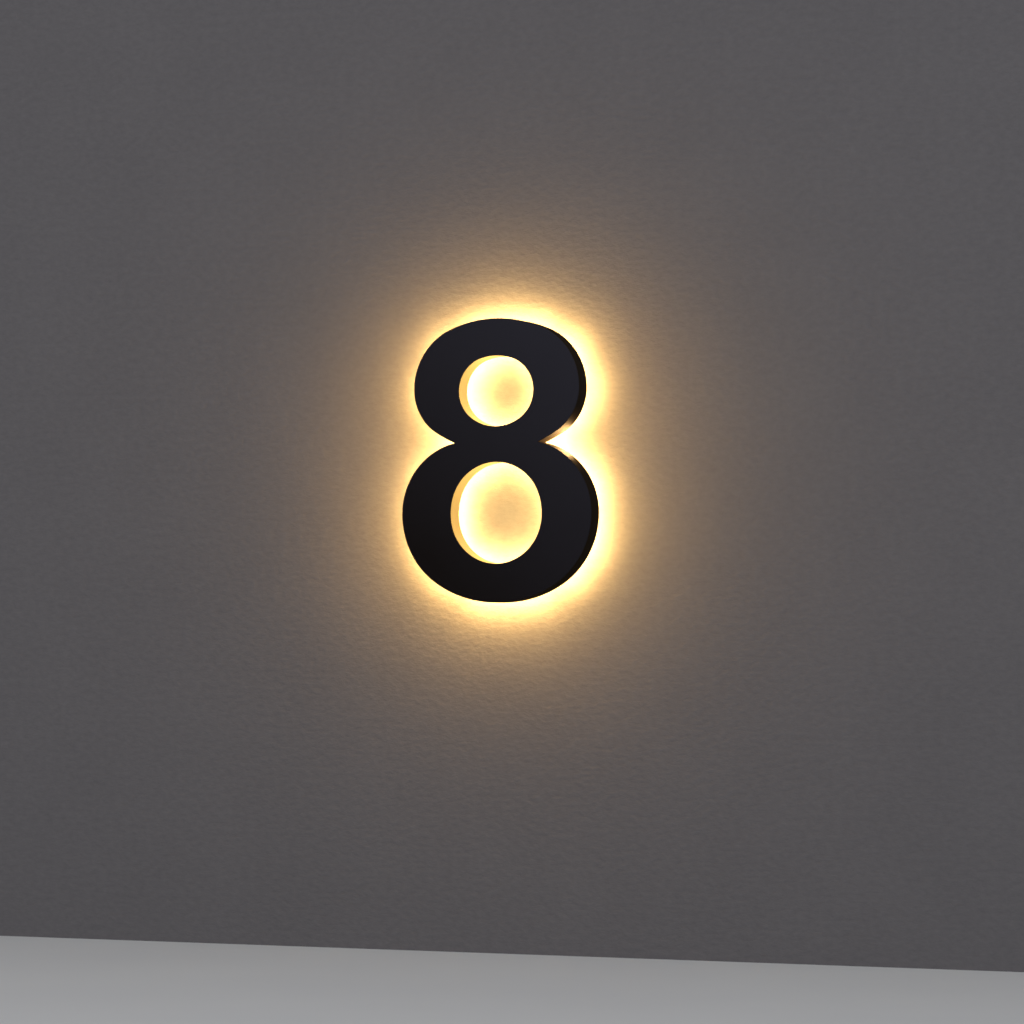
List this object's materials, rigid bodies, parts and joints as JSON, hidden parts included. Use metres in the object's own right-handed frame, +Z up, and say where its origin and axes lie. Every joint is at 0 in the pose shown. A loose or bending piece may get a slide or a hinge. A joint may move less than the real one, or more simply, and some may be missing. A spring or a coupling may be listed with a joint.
{
  "type": "illuminated house number sign",
  "caption": "Halo-lit house number: a black sheet-metal figure eight with side returns and an opal rear light panel, held off the wall on spacer studs so that warm light spills around it.",
  "frame": {"origin": "middle of the rectangle of wall studs, on the wall's surface", "axes": "+Z up the digit, +Y into the wall along the studs, -Y out of the sign's face, +X to the viewer's right"},
  "size_m": [0.251, 0.0875, 0.35],
  "materials": {
    "black_powder_coat": "fine-textured matt black powder coat",
    "opal_acrylic": "opal cast acrylic, satin, glows warm white when lit",
    "bare_steel": "bare stainless steel, spot welded",
    "stud_steel": "stainless stepped studs",
    "spacer_tube": "black anodised hexagonal aluminium",
    "black_nylon": "black moulded nylon",
    "white_abs": "white moulded ABS",
    "clear_lens": "moulded clear lens over the LED",
    "foam_tape": "grey double-sided acrylic foam tape",
    "cable_pvc": "flat twin cable, white PVC",
    "terminal_nylon": "natural nylon",
    "silicone": "white silicone bead around the panel",
    "gland_rubber": "black rubber insert in the gland"
  },
  "bodies": {
    "root": {"back_panel": "opal_acrylic", "cable_gland": "black_nylon", "face_plate": "black_powder_coat", "led_lenses": "clear_lens", "led_module_01": "white_abs", "led_module_02": "white_abs", "led_module_03": "white_abs", "led_module_04": "white_abs", "led_module_05": "white_abs", "led_module_06": "white_abs", "led_module_07": "white_abs", "led_module_08": "white_abs", "led_module_09": "white_abs", "led_module_10": "white_abs", "led_module_11": "white_abs", "led_module_12": "white_abs", "led_module_13": "white_abs", "led_module_14": "white_abs", "led_module_15": "white_abs", "lower_counter_return": "black_powder_coat", "lower_row_cables": "cable_pvc", "mounting_tapes": "foam_tape", "outer_return": "black_powder_coat", "panel_tabs": "bare_steel", "stud_bosses": "bare_steel", "terminal_block": "terminal_nylon", "upper_counter_return": "black_powder_coat", "upper_row_cables": "cable_pvc", "wall_spacers": "spacer_tube", "wall_studs": "stud_steel"}
  },
  "joints": []
}
